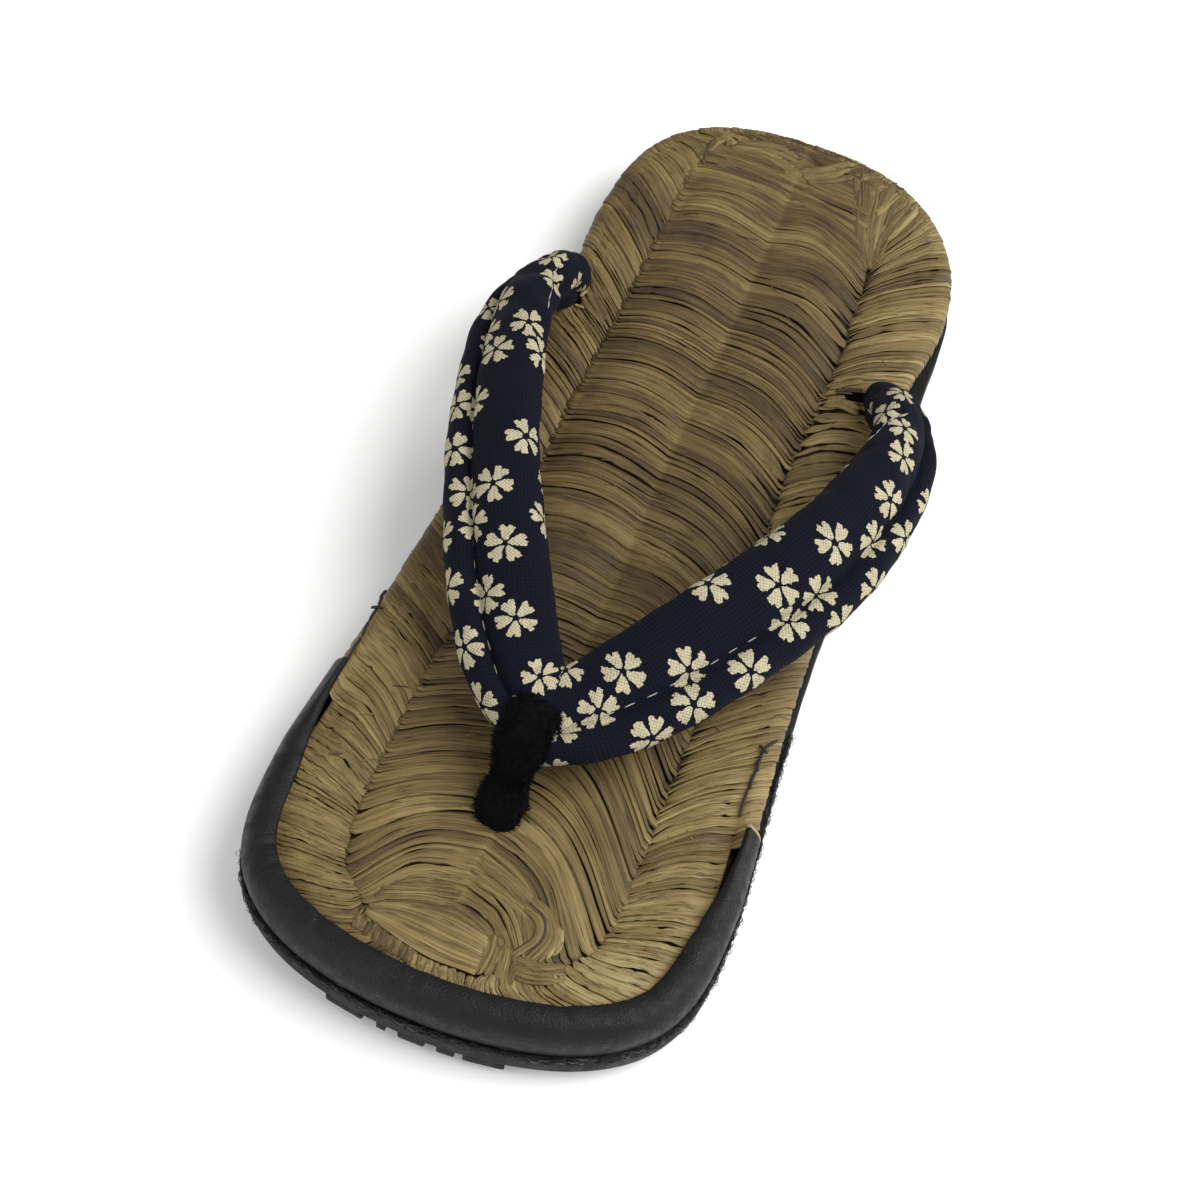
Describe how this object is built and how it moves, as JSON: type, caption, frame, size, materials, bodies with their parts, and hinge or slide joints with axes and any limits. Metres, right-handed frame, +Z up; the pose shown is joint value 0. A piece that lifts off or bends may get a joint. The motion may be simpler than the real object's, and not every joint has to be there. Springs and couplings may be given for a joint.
{
  "type": "zori sandal",
  "caption": "Straight zori sandal with a tread rubber sole, a thick woven sheath footbed, a toe rim and a padded V strap held at the toe by a velvet loop.",
  "frame": {"origin": "on the floor, below the middle of the sole's length and width", "axes": "+Y along the shoe toward the toe, +Z up, +X toward the wearer's right"},
  "size_m": [0.1065, 0.2499, 0.0423],
  "materials": {
    "tread_rubber": "matte black moulded rubber with cut edges",
    "woven_sheath": "dry woven bamboo sheath, tan to olive brown, fine grain and a low sheen",
    "rim_leather": "black fine-grained leather, satin",
    "strap_cloth": "navy plain-weave cloth printed with small cream blossoms",
    "loop_velvet": "black velvet with a short pile"
  },
  "bodies": {
    "root": {"outsole": "tread_rubber", "woven_footbed": "woven_sheath", "toe_rim": "rim_leather", "straps": "strap_cloth", "front_loop": "loop_velvet"}
  },
  "joints": []
}
